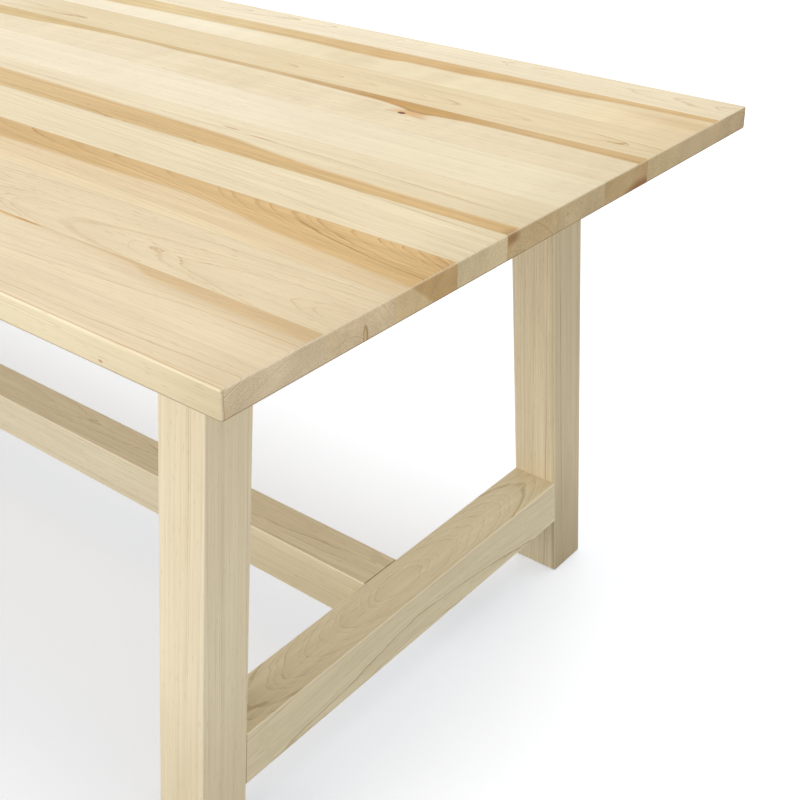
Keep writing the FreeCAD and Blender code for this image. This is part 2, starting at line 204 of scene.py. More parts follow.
def growthRings(finish, local, piece):
    # rings are distances from a pith line that leans through the tree, so faces and sawn ends agree
    x, y, z = finish.split(local)
    driftY, driftZ, tint = finish.split(mapleTexture(finish, local, piece, "drift", "Color"))
    pithY, pithZ = piece["pith"]
    leanY, leanZ = piece["lean"]
    across = y - pithY - x * leanY + swing(driftY, piece["drift"])
    across = across * piece.get("flat", 1.0)  # below 1 the rings are oval
    below = z - pithZ + x * leanZ + swing(driftZ, piece["drift"])
    if "crest" in piece:  # the grain dips away on both sides of here, which closes the loops
        crestAt, crestLean, crestRound = piece["crest"]
        off = x - crestAt
        below = below + finish.math("SQRT", off * off + crestRound ** 2) * crestLean
    reach = finish.math("SQRT", across * across + below * below)
    reach = reach + swing(mapleTexture(finish, local, piece, "wiggle"), piece["wiggle"])
    rows = {"W": reach * yearRing["unevenRepeats"] + piece["seed"], "Scale": 1.0, "Detail": 1.0}
    uneven = finish.node("TexNoise", {"noise_dimensions": "1D"}, rows)
    count = reach / piece["ring"] + uneven * yearRing["uneven"]
    phase = finish.math("FRACT", count)
    rows = {"W": finish.math("FLOOR", count) + piece["seed"]}
    weight = finish.node("TexWhiteNoise", {"noise_dimensions": "1D"}, rows)

    slow = yearRing["darkensBy"]
    late = finish.smooth(phase, piece.get("lineFrom", yearRing["lineFrom"]), yearRing["lineFull"])
    late = finish.smooth(phase, *yearRing["darkens"]) * slow + late * (1 - slow)
    ring = late * (1 - finish.smooth(phase, *yearRing["lineEnds"]))
    even = piece.get("even", yearRing["even"])
    endEven = yearRing["endEven"]
    faceLine = ring * (weight * weight * (1 - even) + even)
    endLine = ring * (weight * (1 - endEven) + endEven)
    return (x, y, z), faceLine, endLine, tint


closeUp = {
    "broken": (0.30, 0.60), "brokenLeaves": 0.3,  # what is left of a line where it breaks
    "flecks": (0.64, 0.74),
}


def woodDetail(finish, local, piece):
    detail = {name: mapleTexture(finish, local, piece, name) for name in ("fibre", "streak", "cloud", "pores")}
    if "figure" in piece:  # soft bars across the grain
        detail["figure"] = mapleTexture(finish, local, piece, "figure")
    leaves = closeUp["brokenLeaves"]
    broken = finish.smooth(mapleTexture(finish, local, piece, "broken"), *closeUp["broken"])
    detail["whole"] = broken * (1 - leaves) + leaves
    detail["flecks"] = finish.smooth(mapleTexture(finish, local, piece, "flecks"), *closeUp["flecks"])
    return detail


# what a heartwood stripe has unless it says otherwise
plainStripe = {
    "soft": 0.003, "ragged": 0.006, "undercut": 0.0,  # its edge, and how it slants under the surface
    "heart": 1.0, "deep": 0.8,  # how much it is heartwood, on faces and on sawn ends
    "clouds": (0.42, 0.75), "cloudShare": 0.25, "rimDepth": 0.009, "rimColour": woodColours["honeyRim"],
    "leftUpTo": (0.1, 0.55),  # where its tone on the left ends
}


def heartStripes(finish, colour, place, detail, piece):
    x, y, z = place
    heart = 0.0
    endHeart = 0.0
    for own in piece.get("stripes", ()):
        stripe = {**plainStripe, **own}
        low, high = piece["edges"]
        soft = stripe["soft"]
        depth = high - y if stripe["side"] == "far" else y - low  # from the seam it starts at
        width = finish.along(x, [(at, wide / 1000) for at, wide in stripe["width"]])
        under = (piece["top"] - z) * stripe["undercut"]
        inside = width + under - depth + swing(detail["streak"], stripe["ragged"])
        body = finish.smooth(inside, -soft, soft)
        mask = body * finish.along(x, stripe["tone"])
        rim = finish.smooth(detail["cloud"], *stripe["clouds"]) * stripe["cloudShare"]
        if "rim" in stripe:  # darker just inside its edge
            band = body * (1 - finish.smooth(inside, soft, soft + stripe["rimDepth"]))
            rim = finish.math("MAXIMUM", rim, band * finish.along(x, stripe["rim"]))
        fill = stripe["colour"]
        if "left" in stripe:  # another tone on the left
            fill = finish.mix(stripe["left"], fill, finish.smooth(x, *stripe["leftUpTo"]))
        if "flush" in stripe:  # a deeper tone on some stretch
            fill = finish.mix(fill, stripe["flushColour"], finish.along(x, stripe["flush"]))
        fill = finish.mix(fill, stripe["rimColour"], rim)
        colour = finish.mix(colour, fill, mask)
        heart = finish.math("MAXIMUM", heart, mask * stripe["heart"])
        endHeart = finish.math("MAXIMUM", endHeart, mask * stripe["deep"])
    return colour, heart, endHeart


shading = {
    "cloud": 0.11, "streak": 0.24, "fibre": 0.20, "heartwood": 0.9,  # heartwood is more streaky
    "darkerEnds": (0.955, 1.08), "darkerEndsBy": 0.09,  # darker over the last hand's breadth at each end of the top
    "green": 1.08, "blue": 1.3,
    "endPores": 0.65, "endCloud": 0.55, "endFibre": 0.45, "endGreen": 1.05, "endBlue": 1.2,
}


def shadeColour(finish, colour, shade, green, blue):
    # darker wood is warmer: green and blue fall more than red
    rows = {0: shade, 1: shade * green - (green - 1), 2: shade * blue - (blue - 1)}
    return finish.mix(colour, finish.node("CombineXYZ", {}, rows), 1.0, "MULTIPLY")


def woodShade(finish, colour, heart, place, detail, piece):
    grain = piece.get("grainy", 1.0) * (1 + heart * shading["heartwood"])
    streaks = swing(detail["streak"], shading["streak"]) + swing(detail["fibre"], shading["fibre"])
    shade = 1 + swing(detail["cloud"], shading["cloud"]) + streaks * grain
    if "figure" in piece:
        shade = shade + swing(detail["figure"], piece["figure"])
    if "edges" in piece:
        shade = shade - finish.smooth(abs(place[0]), *shading["darkerEnds"]) * shading["darkerEndsBy"]
    return shadeColour(finish, colour, shade, shading["green"], shading["blue"])


def mark(at, size, colour, share, core=0.4, ragged=0.6):  # a soft-edged patch, solid in its core
    return {"at": at, "size": size, "colour": rgb(*colour), "share": share, "core": core, "ragged": ragged}


def woodMarks(finish, colour, spot, detail, marks):
    for patch in marks:
        scaled = finish.vector("DIVIDE", finish.vector("SUBTRACT", spot, patch["at"]), patch["size"])
        away = finish.vector("LENGTH", scaled, out="Value") + swing(detail["cloud"], patch["ragged"])
        share = (1 - finish.smooth(away, patch["core"], 1.0)) * patch["share"]
        colour = finish.mix(colour, patch["colour"], share)
    return colour


satin = {
    "warmFrom": (0.40, 0.80), "tailFrom": (0.3, 1.0), "heartLines": 0.3, "flecks": 0.25, "endLines": 0.45,
    "sawnFrom": (0.55, 0.8), "underside": (-0.95, -0.8),  # by the way that the surface faces
    "edgeLineSway": 0.002, "sheenAndWear": 0.35,
    "rough": 0.44, "roughFibre": 0.16, "roughCloud": 0.10, "roughEnd": 0.12, "roughWorn": 0.08,
    "fibreHeight": 0.5, "fleckDepth": 0.6, "lineDepth": 0.5, "poreHeight": 0.6,
    "bump": {"Strength": 0.22, "Distance": 0.0004},
    "gloss": {"IOR": 1.47, "Specular IOR Level": 0.2},
}


def faceColour(finish, piece, spot, place, detail, faceLine, tint):
    warmth = finish.smooth(tint, *satin["warmFrom"]) * piece["warmth"]
    colour = finish.mix(piece["pale"], piece.get("warm", woodColours["pink"]), warmth)
    if "head" in piece:  # the colour it has on the left
        colour = finish.mix(piece["head"], colour, finish.smooth(place[0], *piece["headUpTo"]))
    if "tail" in piece:  # the colour it takes on towards the right end
        tailFrom = piece.get("tailFrom", satin["tailFrom"])
        colour = finish.mix(colour, piece["tail"], finish.smooth(place[0], *tailFrom))
    colour, heart, endHeart = heartStripes(finish, colour, place, detail, piece)
    colour = woodMarks(finish, colour, spot, detail, piece.get("tints", ()))
    colour = woodShade(finish, colour, heart, place, detail, piece)
    paleLine = woodColours["paleLine" if "edges" in piece else "frameLine"]
    lineColour = finish.mix(paleLine, woodColours["heartLine"], heart)
    strength = piece["lines"] * (1 + heart * satin["heartLines"])
    colour = finish.mix(colour, lineColour, faceLine * detail["whole"] * strength)
    colour = finish.mix(colour, lineColour, detail["flecks"] * piece.get("flecks", satin["flecks"]))
    return colour, endHeart


def endColour(finish, piece, detail, endHeart, endLine):  # a sawn end: darker, with the rings as arcs
    heartTone = piece.get("endHeart", woodColours["endHeart"])
    colour = finish.mix(piece.get("endPale", woodColours["end"]), heartTone, endHeart)
    shade = 1 + swing(detail["pores"], shading["endPores"]) + swing(detail["cloud"], shading["endCloud"])
    shade = shade + swing(detail["fibre"], shading["endFibre"])
    colour = shadeColour(finish, colour, shade, shading["endGreen"], shading["endBlue"])
    return finish.mix(colour, woodColours["endLine"], endLine * piece.get("endLines", satin["endLines"]))


# how far a fine line reaches at full and at no strength, in metres, and its share
fineLines = {
    "lowerArris": (0.0012, 0.0028, 0.5), "seam": (0.0003, 0.0009, 0.15),
    "darkLine": (0.0002, 0.0010, 0.5), "grainLine": (0.0002, 0.0008, 0.6),
}


def drawLine(finish, colour, tone, away, kind, where=1.0):
    full, none, share = fineLines[kind]
    return finish.mix(colour, woodColours[tone], (1 - finish.smooth(away, full, none)) * (where * share))


def addFineLines(finish, piece, colour, place, x, detail, normal):
    if "edges" in piece:  # a lower arris darkened with painted shade, and a thin glue line at each seam
        low, high = piece["edges"]
        notBelow = finish.smooth(finish.split(normal)[2], *satin["underside"])
        colour = drawLine(finish, colour, "darkLine", place[2] - piece["bottom"], "lowerArris", notBelow)
        seam = finish.math("MINIMUM", abs(place[1] - low), abs(place[1] - high))
        colour = drawLine(finish, colour, "glue", seam, "seam")
    if "jointAt" in piece:  # the fine dark line where its end meets the next piece
        colour = drawLine(finish, colour, "darkLine", piece["jointAt"] - abs(x), "darkLine")
    if "edgeLine" in piece:  # a brown grain line close inside the long edge
        away = abs(place[1] - piece["edgeLine"] + swing(detail["cloud"], satin["edgeLineSway"]))
        colour = drawLine(finish, colour, "paleLine", away, "grainLine")
    return colour


sheenAndWearWidth = {"top": (0.0006, 0.0024), "frame": (0.0006, 0.0021)}


def sheenAndWearEdges(finish, place, across, piece):
    # how near to a rounded edge, for the painted edge highlight and for wear: the second smallest distance
    # from the faces
    if "edges" in piece:
        offX = rightEnd - abs(place[0])
        offY = farEdge - abs(place[1])
        offZ = piece["top"] - place[2]
        away = finish.math("MAXIMUM", offX, finish.math("MINIMUM", offY, offZ))
        away = finish.math("MINIMUM", away, finish.math("MAXIMUM", offY, offZ))
        return 1 - finish.smooth(away, *sheenAndWearWidth["top"])
    halfY, halfZ = piece["half"]
    away = finish.math("MAXIMUM", halfY - abs(across[0]), halfZ - abs(across[1]))
    return 1 - finish.smooth(away, *sheenAndWearWidth["frame"])


def satinWood(piece):
    finish = Finish(bpy.data.materials.new(piece["finish"]))
    spot, local = grainSpace(finish, piece)
    place = finish.split(spot)
    normal = finish.node("TexCoord", out="Normal")
    (x, y, z), faceLine, endLine, tint = growthRings(finish, local, piece)
    detail = woodDetail(finish, local, piece)

    colour, endHeart = faceColour(finish, piece, spot, place, detail, faceLine, tint)
    facing = finish.vector("DOT_PRODUCT", normal, piece.get("grain", (1, 0, 0)), out="Value")
    sawn = finish.smooth(abs(facing), *satin["sawnFrom"])
    colour = finish.mix(colour, endColour(finish, piece, detail, endHeart, endLine), sawn)
    colour = woodMarks(finish, colour, spot, detail, piece.get("marks", ()))
    colour = addFineLines(finish, piece, colour, place, x, detail, normal)
    sheenAndWear = sheenAndWearEdges(finish, place, (y, z), piece)
    # a painted highlight: the rounded edges are made paler by each piece's share, as if catching the light;
    # below, the same mask lowers roughness for wear
    colour = finish.mix(colour, woodColours["sheenAndWear"], sheenAndWear * piece.get("sheenAndWear", satin["sheenAndWear"]))

    rough = satin["rough"] + swing(detail["fibre"], satin["roughFibre"])
    rough = rough + swing(detail["cloud"], satin["roughCloud"])
    rough = rough + sawn * satin["roughEnd"] - sheenAndWear * satin["roughWorn"]
    height = detail["fibre"] * satin["fibreHeight"] - detail["flecks"] * satin["fleckDepth"]
    height = height - faceLine * satin["lineDepth"] + detail["pores"] * sawn * satin["poreHeight"]
    bump = finish.node("Bump", {}, {**satin["bump"], "Height": height})
    shader = finish.node("BsdfPrincipled", {}, {
        "Base Color": colour, "Roughness": rough, "Normal": bump, **satin["gloss"],
    })
    finish.output(shader)
    cadNodes[piece["node"]].material_slots[0].material = finish.owner


def dressBoard(board):
    low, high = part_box(board["node"])
    board["edges"] = (low.y, high.y)
    board["bottom"] = low.z
    board["top"] = high.z
    board["middle"] = (0.0, (low.y + high.y) / 2, (low.z + high.z) / 2)
    satinWood(board)


# the ten boards of the top, from the near edge to the far one
# pith: where the middle of the tree runs, across and through; lean: its slope along the board; ring: one year
# stripes start at a seam, with widths in millimetres and tones at places along the board
# each board's endPale darkens from the near board to the far one: partly the boards' own tones, partly painted
# shade across the end face
board01 = {
    "node": "top_board_01", "finish": "boardOneMaple", "seed": 1.3, "pale": rgb(236, 217, 182),
    "pith": (0.11, -0.09), "flat": 0.5, "lean": (0.012, 0.005), "drift": 0.016, "wiggle": 0.0012,
    "ring": 0.0018, "lines": 0.46, "endLines": 0.75, "even": 0.28, "warmth": 0.5,
    "endPale": rgb(230, 210, 175), "edgeLine": nearEdge + 0.0033,
    "stripes": [{
        "side": "far", "colour": woodColours["pink"], "soft": 0.009, "heart": 0.2, "deep": 0.0,
        "width": [(leftEnd, 30), (-0.4, 0), (0.3, 0), (0.74, 12), (0.86, 30), (rightEnd, 39)],
        "tone": [(leftEnd, 0.6), (0.5, 0.5), (rightEnd, 0.75)],
    }, {
        "side": "far", "colour": rgb(220, 189, 142), "soft": 0.004, "ragged": 0.003, "heart": 0.5, "deep": 0.0,
        "width": [(leftEnd, 16), (-0.5, 5), (0.3, 0), (0.70, 0), (0.745, 2.5), (0.80, 3.5), (0.825, 8),
                  (0.85, 15), (0.90, 18), (rightEnd, 21)],
        "tone": [(leftEnd, 0.8), (0.0, 0.6), (0.8, 0.9), (rightEnd, 0.9)],
    }, {
        # a painted highlight: a very pale strip 1.5 mm wide along the near rounded edge
        "side": "near", "colour": rgb(253, 239, 203), "soft": 0.0015, "ragged": 0.0, "heart": 0.0, "deep": 0.0,
        "rimColour": rgb(250, 232, 192),
        "width": [(leftEnd, 1.5), (rightEnd, 1.5)],
        "tone": [(leftEnd, 1.0), (rightEnd, 1.0)],
    }],
    "marks": [
        mark((0.605, -0.3700, topFace), (0.072, 0.0038, 0.01), (216, 170, 100), 0.8),
        mark((0.640, -0.3700, topFace), (0.030, 0.0026, 0.01), (190, 138, 68), 0.6),
        mark((0.912, nearEdge, 0.7375), (0.0038, 0.006, 0.0020), (196, 148, 102), 0.8),
    ],
    "tints": [
        mark((rightEnd, nearEdge, 0.746), (0.24, 0.008, 0.06), (226, 206, 168), 0.4, core=0.0),
    ],
}
dressBoard(board01)

board02 = {
    "node": "top_board_02", "finish": "boardTwoMaple", "seed": 2.9, "pale": rgb(234, 215, 179),
    "pith": (-0.024, -0.040), "lean": (0.0, 0.0), "crest": (1.14, 0.046, 0.05), "drift": 0.016,
    "wiggle": 0.0034, "ring": 0.0031, "lines": 0.58, "even": 0.45, "warmth": 0.45, "flecks": 0.4,
    "marks": [
        mark((0.805, -0.334, topFace), (0.014, 0.0044, 0.01), (192, 154, 106), 0.6, core=0.75),
        mark((0.806, -0.334, topFace), (0.010, 0.0028, 0.01), (232, 210, 172), 0.85, core=0.6),
        mark((0.804, -0.334, topFace), (0.005, 0.0014, 0.01), (178, 134, 88), 0.6),
        mark((rightEnd, -0.3115, 0.738), (0.012, 0.0038, 0.0125), (158, 120, 74), 0.7, core=0.8, ragged=0.3),
        mark((rightEnd, -0.3120, 0.736), (0.012, 0.0020, 0.0108), (216, 190, 142), 0.9, core=0.7, ragged=0.3),
    ],
}
dressBoard(board02)

board03 = {
    "node": "top_board_03", "finish": "boardThreeMaple", "seed": 4.6, "pale": rgb(238, 218, 177),
    "pith": (0.052, -0.118), "lean": (0.0, -0.065), "crest": (0.72, -0.035, 0.05), "drift": 0.009,
    "wiggle": 0.0024, "ring": 0.0028, "lines": 0.72, "even": 0.35, "warmth": 0.4,
    "endPale": rgb(224, 203, 158), "endHeart": rgb(192, 154, 98),
    "stripes": [{
        "side": "far", "colour": rgb(231, 206, 165), "soft": 0.010, "heart": 0.2, "deep": 0.25,
        "rimColour": rgb(224, 196, 152),
        "width": [(leftEnd, 70), (-0.3, 95), (0.43, 84), (0.68, 80), (0.87, 92), (rightEnd, 104)],
        "tone": [(leftEnd, 0.7), (0.4, 0.75), (rightEnd, 0.95)],
    }, {
        "side": "far", "colour": rgb(219, 184, 127), "soft": 0.005, "undercut": -1.2,
        "rimColour": rgb(198, 156, 98), "flushColour": rgb(212, 175, 115),
        "flush": [(leftEnd, 0.8), (0.50, 0.8), (0.64, 0.0), (rightEnd, 0.0)],
        "width": [(leftEnd, 40), (-0.5, 66), (0.0, 60), (0.35, 48), (0.48, 44), (0.60, 43), (0.70, 38),
                  (0.78, 44), (0.84, 54), (0.90, 61), (0.99, 70), (rightEnd, 76)],
        "tone": [(leftEnd, 0.9), (0.5, 0.95), (rightEnd, 1.0)],
    }],
}
dressBoard(board03)

board04 = {
    "node": "top_board_04", "finish": "boardFourMaple", "seed": 5.8, "pale": rgb(238, 222, 186),
    "pith": (0.20, -0.06), "lean": (-0.09, 0.01), "drift": 0.012, "wiggle": 0.0020,
    "ring": 0.0038, "lines": 0.75, "even": 0.3, "warmth": 0.15, "grainy": 1.2,
    "endPale": rgb(219, 199, 158), "endLines": 0.25,
}
dressBoard(board04)

board05 = {
    "node": "top_board_05", "finish": "boardFiveMaple", "seed": 7.1, "pale": rgb(240, 225, 190),
    "pith": (-0.05, -0.075), "lean": (0.0, 0.02), "drift": 0.018, "wiggle": 0.0022,
    "ring": 0.0034, "lines": 0.45, "warmth": 0.4, "endPale": rgb(202, 178, 132), "tail": rgb(235, 217, 180),
    "stripes": [{
        "side": "near", "colour": rgb(219, 185, 128), "left": rgb(224, 191, 134),
        "soft": 0.005, "ragged": 0.010, "undercut": -0.9,
        "rimColour": rgb(196, 152, 94), "rim": [(leftEnd, 0.3), (rightEnd, 0.3)],
        "width": [(leftEnd, 35), (-0.5, 50), (-0.1, 62), (0.18, 55), (0.30, 53), (0.42, 49), (0.48, 48),
                  (0.54, 46), (0.60, 44), (0.66, 38), (0.72, 31), (0.78, 26), (0.84, 25), (0.90, 23),
                  (rightEnd, 23)],
        "tone": [(leftEnd, 0.8), (0.2, 0.95), (0.8, 1.0), (rightEnd, 1.0)],
    }],
    "marks": [
        mark((0.585, -0.0085, topFace), (0.022, 0.0022, 0.01), (190, 142, 92), 0.7),
        mark((0.645, -0.0135, topFace), (0.034, 0.0018, 0.01), (190, 142, 92), 0.7),
        mark((rightEnd, -0.069, 0.756), (0.02, 0.019, 0.0115), (152, 110, 64), 0.8, core=0.2),
    ],
}
dressBoard(board05)

board06 = {
    "node": "top_board_06", "finish": "boardSixMaple", "seed": 8.6, "pale": rgb(246, 232, 202),
    "pith": (0.16, -0.05), "lean": (0.004, 0.01), "drift": 0.012, "wiggle": 0.0020,
    "ring": 0.0036, "lines": 0.36, "warmth": 0.2, "grainy": 0.85, "figure": 0.06, "flecks": 0.35,
    "endPale": rgb(202, 180, 138), "tail": rgb(239, 225, 191),
    "marks": [
        mark((rightEnd, 0.042, 0.748), (0.01, 0.0022, 0.003), (150, 110, 72), 0.6),
        mark((rightEnd, 0.060, 0.742), (0.01, 0.0016, 0.003), (150, 110, 72), 0.5),
        mark((rightEnd, 0.071, 0.752), (0.01, 0.0016, 0.002), (150, 110, 72), 0.5),
    ],
}
dressBoard(board06)

board07 = {
    "node": "top_board_07", "finish": "boardSevenMaple", "seed": 10.4, "pale": rgb(241, 225, 191),
    "pith": (0.08, -0.10), "lean": (0.0, 0.015), "drift": 0.018, "wiggle": 0.0022,
    "ring": 0.0034, "lines": 0.34, "warmth": 0.25, "grainy": 0.85, "figure": 0.16, "flecks": 0.35,
    "endPale": rgb(193, 167, 120), "tail": rgb(236, 218, 183),
    "stripes": [{
        "side": "far", "colour": rgb(210, 176, 119), "left": rgb(219, 190, 132),
        "soft": 0.0035, "ragged": 0.006, "undercut": 0.3,
        "rimColour": rgb(178, 132, 74), "rimDepth": 0.006,
        "rim": [(leftEnd, 0.05), (0.3, 0.3), (0.56, 0.4), (0.66, 0.7), (0.73, 0.85), (0.77, 0.6), (0.86, 0.3),
                (rightEnd, 0.4)],
        "flushColour": rgb(198, 155, 81),
        "flush": [(leftEnd, 0), (0.56, 0), (0.66, 0.9), (0.77, 0.9), (0.86, 0.2), (rightEnd, 0)],
        "width": [(leftEnd, 14), (-0.6, 34), (-0.27, 40), (-0.145, 36), (-0.06, 28), (0.0, 22), (0.06, 17),
                  (0.12, 14), (0.18, 12.5), (0.24, 15), (0.30, 13), (0.42, 12), (0.48, 13), (0.54, 14.5),
                  (0.60, 16.5), (0.65, 18), (0.69, 23), (0.715, 30.5), (0.732, 35), (0.755, 29), (0.79, 24),
                  (0.83, 20.5), (0.90, 20), (rightEnd, 22)],
        "tone": [(leftEnd, 0.8), (-0.2, 1.0), (0.2, 0.95), (0.4, 0.95), (0.6, 1.0), (0.72, 1.0), (0.87, 0.9),
                 (rightEnd, 1.0)],
    }],
    "marks": [  # the knot with its flare and halo, then the dark patch on the sawn end
        mark((0.684, 0.2115, topFace), (0.028, 0.012, 0.02), (207, 153, 80), 0.6, core=0.2),
        mark((0.765, 0.2070, topFace), (0.024, 0.013, 0.02), (208, 160, 90), 0.5, core=0.2),
        mark((0.728, 0.1850, topFace), (0.042, 0.0120, 0.02), (220, 174, 112), 0.9, core=0.15),
        mark((0.697, 0.1795, topFace), (0.011, 0.0014, 0.02), (190, 146, 86), 0.7),
        mark((0.748, 0.1772, topFace), (0.017, 0.0015, 0.02), (190, 142, 84), 0.8),
        mark((0.7175, 0.1803, topFace), (0.0070, 0.0044, 0.02), (112, 52, 0), 1.0, core=0.65, ragged=0.3),
        mark((rightEnd, 0.204, 0.733), (0.02, 0.050, 0.0125), (142, 94, 44), 0.85, core=0.2),
    ],
    "tints": [
        mark((0.24, 0.17, topFace), (0.020, 0.04, 0.05), (233, 216, 178), 0.5),
        mark((0.43, 0.16, topFace), (0.17, 0.07, 0.05), (232, 214, 176), 0.75, core=0.2),
        mark((0.66, 0.17, topFace), (0.030, 0.04, 0.05), (232, 213, 174), 0.6),
    ],
}
dressBoard(board07)

board08 = {
    "node": "top_board_08", "finish": "boardEightMaple", "seed": 11.9, "pale": rgb(234, 214, 173),
    "pith": (-0.012, -0.020), "lean": (0.0, 0.026), "drift": 0.008, "wiggle": 0.0022,
    "ring": 0.0026, "lines": 1.0, "even": 0.25, "lineFrom": 0.83, "warmth": 0.3, "endPale": rgb(201, 179, 135),
    "head": rgb(243, 228, 195), "headUpTo": (-0.35, -0.08),
}
dressBoard(board08)

board09 = {
    "node": "top_board_09", "finish": "boardNineMaple", "seed": 13.5, "pale": rgb(241, 225, 187),
    "pith": (0.10, -0.10), "lean": (0.0, 0.02), "drift": 0.018, "wiggle": 0.0022,
    "ring": 0.0036, "lines": 0.26, "warmth": 0.2, "grainy": 0.8, "figure": 0.14, "endPale": rgb(202, 180, 140),
    "head": rgb(250, 237, 208), "headUpTo": (0.15, 0.42), "tail": rgb(236, 214, 172), "tailFrom": (0.80, 1.06),
    "stripes": [{
        "side": "far", "colour": rgb(219, 183, 123), "left": rgb(231, 206, 152),
        "soft": 0.006, "ragged": 0.010, "deep": 0.3, "rimColour": rgb(194, 148, 86),
        "rim": [(leftEnd, 0.2), (0.0, 0.3), (0.5, 0.45), (rightEnd, 0.45)],
        "width": [(leftEnd, 10), (-0.6, 44), (-0.3, 58), (-0.1, 54), (0.0, 49), (0.10, 46), (0.24, 42),
                  (0.36, 39), (0.42, 41), (0.48, 44), (0.535, 43), (0.57, 36), (0.66, 37), (0.72, 33),
                  (0.78, 28), (0.84, 27.5), (0.90, 21), (0.96, 18), (rightEnd, 16)],
        "tone": [(leftEnd, 0.8), (0.0, 1.0), (0.5, 1.0), (0.7, 1.0), (0.85, 0.9), (rightEnd, 0.95)],
    }],
    "tints": [
        mark((1.06, 0.374, topFace), (0.16, 0.034, 0.05), (218, 186, 136), 0.6, core=0.1),
        mark((0.49, 0.345, topFace), (0.060, 0.045, 0.05), (233, 214, 173), 0.75, core=0.5),
        mark((0.655, 0.345, topFace), (0.034, 0.045, 0.05), (233, 214, 173), 0.6),
        mark((0.665, 0.395, topFace), (0.060, 0.018, 0.05), (204, 160, 96), 0.6, core=0.1),
    ],
}
dressBoard(board09)

board10 = {
    "node": "top_board_10", "finish": "boardTenMaple", "seed": 15.2, "pale": rgb(247, 233, 202),
    "pith": (0.012, -0.075), "lean": (0.0, 0.0), "crest": (0.58, -0.030, 0.06), "drift": 0.016,
    "wiggle": 0.0034, "ring": 0.0034, "lines": 0.85, "even": 0.25, "warmth": 0.2,
    "endPale": rgb(194, 172, 132), "endLines": 0.3, "tail": rgb(240, 225, 191),
    "marks": [
        # painted shade: a dark streak down the far corner of the sawn end, where the rounded arris turns away
        # from the light
        mark((rightEnd, farEdge, 0.746), (0.007, 0.0055, 0.06), (112, 86, 48), 0.9),
    ],
}
dressBoard(board10)
print("top dressed: 10 boards")

legShape = {
    "along": 0.860, "foot": 0.3805, "outerFoot": 0.416, "outerHead": 0.354, "height": 0.731,
    "halfWide": 0.0355, "halfDeep": 0.036,
}
legLean = math.atan((legShape["outerFoot"] - legShape["outerHead"]) / legShape["height"])
outerFace = 0.897  # a millimetre outside the right frame's outer face


def dressLeg(leg, end, side):  # end 1 is the right one, side 1 the far one
    leg["turn"] = (math.degrees(legLean) * -side, 90, 0)
    leg["middle"] = (legShape["along"] * end, legShape["foot"] * side, 0.0)
    leg["half"] = (legShape["halfWide"] * math.cos(legLean), legShape["halfDeep"])
    leg["grain"] = (0, -side * math.sin(legLean), math.cos(legLean))
    satinWood(leg)


def dressCrosspiece(piece, end):
    low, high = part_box(piece["node"])
    piece["turn"] = (0, 0, -90)
    piece["middle"] = (legShape["along"] * end, 0.0, (low.z + high.z) / 2)
    piece["grain"] = (0, 1, 0)
    piece["half"] = ((high.x - low.x) / 2, (high.z - low.z) / 2)
    satinWood(piece)


rightNearLeg = {
    "node": "right_near_leg", "finish": "rightNearLegMaple", "seed": 20.3, "pale": rgb(241, 227, 195),
    "pith": (0.10, 0.10), "lean": (0.006, 0.012), "drift": 0.010, "wiggle": 0.0014,
    "ring": 0.0036, "lines": 0.66, "warmth": 0.15, "grainy": 0.85,
    "tints": [
        # painted shade: darker towards the foot
        mark((0.86, -0.41, 0.0), (0.4, 0.4, 0.34), (228, 212, 178), 1.0, core=0.1, ragged=0.2),
    ],
}
dressLeg(rightNearLeg, 1, -1)

rightFarLeg = {
    "node": "right_far_leg", "finish": "rightFarLegMaple", "seed": 22.1, "pale": rgb(234, 220, 189),
    "pith": (0.09, 0.11), "lean": (-0.004, 0.010), "drift": 0.010, "wiggle": 0.0014,
    "ring": 0.0030, "lines": 0.62, "warmth": 0.2, "grainy": 1.25,
    "tints": [
        # painted shade: the outer side face is darker, and darker still at the foot
        mark((outerFace, 0.36, 0.36), (0.010, 0.3, 1.6), (216, 200, 164), 1.0, ragged=0.2),
        mark((outerFace, 0.38, 0.0), (0.010, 0.3, 0.26), (188, 172, 136), 0.9, core=0.0, ragged=0.2),
    ],
}
dressLeg(rightFarLeg, 1, 1)

leftNearLeg = {
    "node": "left_near_leg", "finish": "leftNearLegMaple", "seed": 24.7, "pale": rgb(237, 223, 192),
    "pith": (-0.10, 0.10), "lean": (0.008, -0.010), "drift": 0.010, "wiggle": 0.0014,
    "ring": 0.0036, "lines": 0.70, "warmth": 0.2,
}
dressLeg(leftNearLeg, -1, -1)

leftFarLeg = {
    "node": "left_far_leg", "finish": "leftFarLegMaple", "seed": 26.4, "pale": rgb(238, 224, 194),
    "pith": (0.11, -0.09), "lean": (0.006, 0.008), "drift": 0.010, "wiggle": 0.0014,
    "ring": 0.0035, "lines": 0.70, "warmth": 0.2,
}
dressLeg(leftFarLeg, -1, 1)

rightCrossBeam = {
    "node": "right_cross_beam", "finish": "rightBeamMaple", "seed": 28.8, "pale": rgb(235, 223, 192),
    "pith": (0.004, -0.012), "lean": (0.0, 0.0), "crest": (-0.005, 0.115, 0.02), "drift": 0.016,
    "wiggle": 0.0040, "ring": 0.0028, "lines": 0.66, "even": 0.35, "lineFrom": 0.87,
    "warmth": 0.15, "warm": rgb(222, 204, 168), "sheenAndWear": 0.7,
    "tints": [
        # painted shade: the outer face is a little darker
        mark((outerFace, 0.0, 0.13), (0.012, 1.0, 0.12), (231, 217, 182), 1.0, ragged=0.2),
    ],
}
dressCrosspiece(rightCrossBeam, 1)

